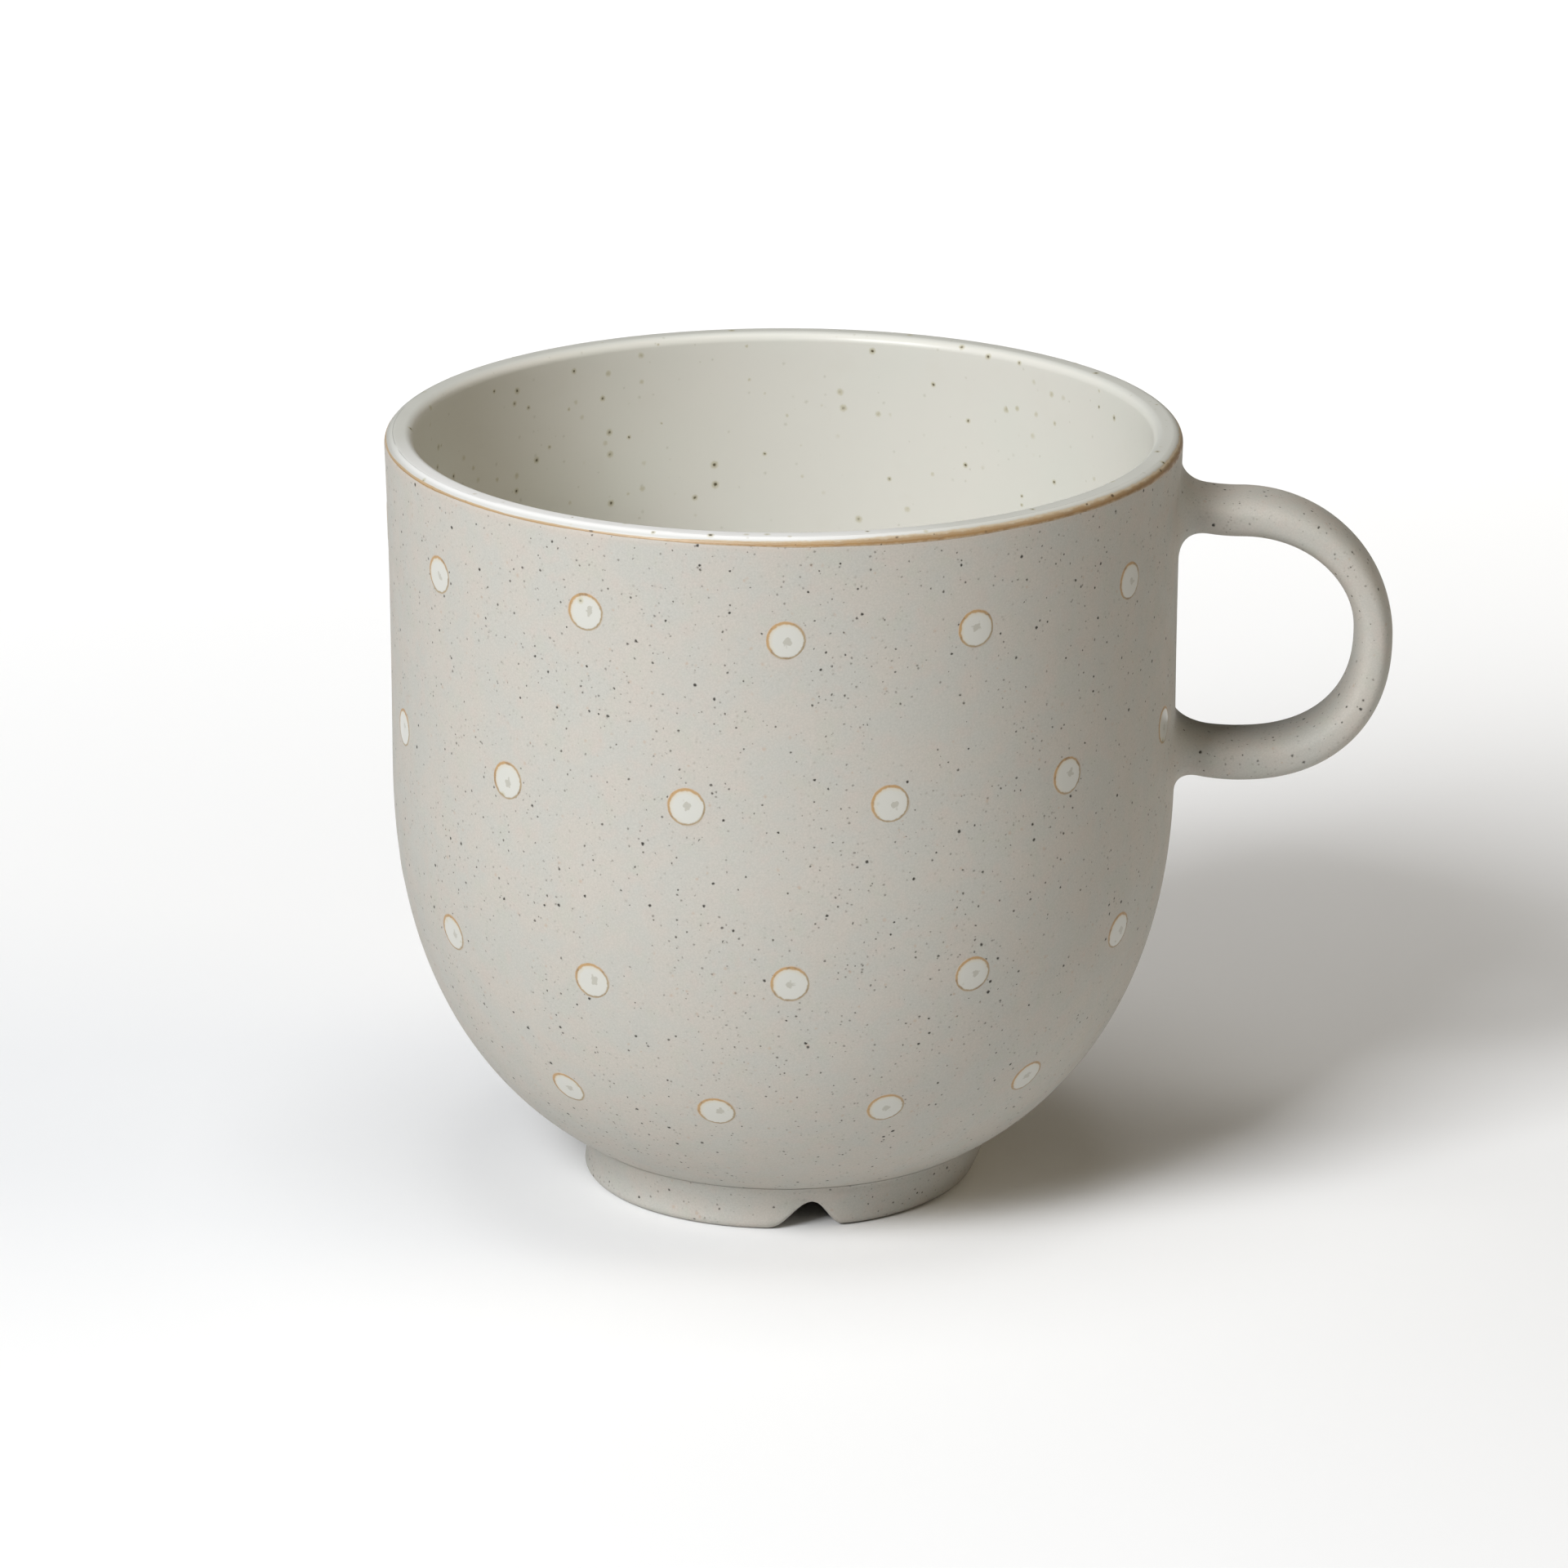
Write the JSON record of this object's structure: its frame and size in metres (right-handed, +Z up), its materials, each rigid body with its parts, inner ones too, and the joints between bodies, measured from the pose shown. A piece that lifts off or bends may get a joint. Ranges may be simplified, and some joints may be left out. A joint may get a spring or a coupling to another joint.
{
  "type": "mug",
  "caption": "Handled drinking mug with a straight upper wall, a rounded belly on a notched foot ring, a glazed inside and small glaze dots outside.",
  "frame": {"origin": "on the table, at the middle of the bottom of the whole mug's box; the cup's own axis stands 12.1 mm to the -X side of it", "axes": "+Z up out of the mouth, +X along the length towards the handle, -Y the front"},
  "size_m": [0.1142, 0.09, 0.0882],
  "materials": {
    "stoneware": "matte",
    "glaze": "gloss",
    "toasted_edge": "satin"
  },
  "bodies": {
    "root": {"foot_ring": "stoneware", "glaze_dot_row1_01": "glaze", "glaze_dot_row1_02": "glaze", "glaze_dot_row1_03": "glaze", "glaze_dot_row1_04": "glaze", "glaze_dot_row1_05": "glaze", "glaze_dot_row1_06": "glaze", "glaze_dot_row1_07": "glaze", "glaze_dot_row1_08": "glaze", "glaze_dot_row1_09": "glaze", "glaze_dot_row1_10": "glaze", "glaze_dot_row1_11": "glaze", "glaze_dot_row2_01": "glaze", "glaze_dot_row2_02": "glaze", "glaze_dot_row2_03": "glaze", "glaze_dot_row2_04": "glaze", "glaze_dot_row2_05": "glaze", "glaze_dot_row2_06": "glaze", "glaze_dot_row2_07": "glaze", "glaze_dot_row2_08": "glaze", "glaze_dot_row2_09": "glaze", "glaze_dot_row2_10": "glaze", "glaze_dot_row2_11": "glaze", "glaze_dot_row2_12": "glaze", "glaze_dot_row3_01": "glaze", "glaze_dot_row3_02": "glaze", "glaze_dot_row3_03": "glaze", "glaze_dot_row3_04": "glaze", "glaze_dot_row3_05": "glaze", "glaze_dot_row3_06": "glaze", "glaze_dot_row3_07": "glaze", "glaze_dot_row3_08": "glaze", "glaze_dot_row3_09": "glaze", "glaze_dot_row3_10": "glaze", "glaze_dot_row3_11": "glaze", "glaze_dot_row3_12": "glaze", "glaze_dot_row4_01": "glaze", "glaze_dot_row4_02": "glaze", "glaze_dot_row4_03": "glaze", "glaze_dot_row4_04": "glaze", "glaze_dot_row4_05": "glaze", "glaze_dot_row4_06": "glaze", "glaze_dot_row4_07": "glaze", "glaze_dot_row4_08": "glaze", "glaze_dot_row4_09": "glaze", "glaze_dot_row4_10": "glaze", "glaze_dot_row4_11": "glaze", "handle": "stoneware", "interior_glaze": "glaze", "mug_body": "stoneware", "rim_edge_band": "toasted_edge"}
  },
  "joints": []
}
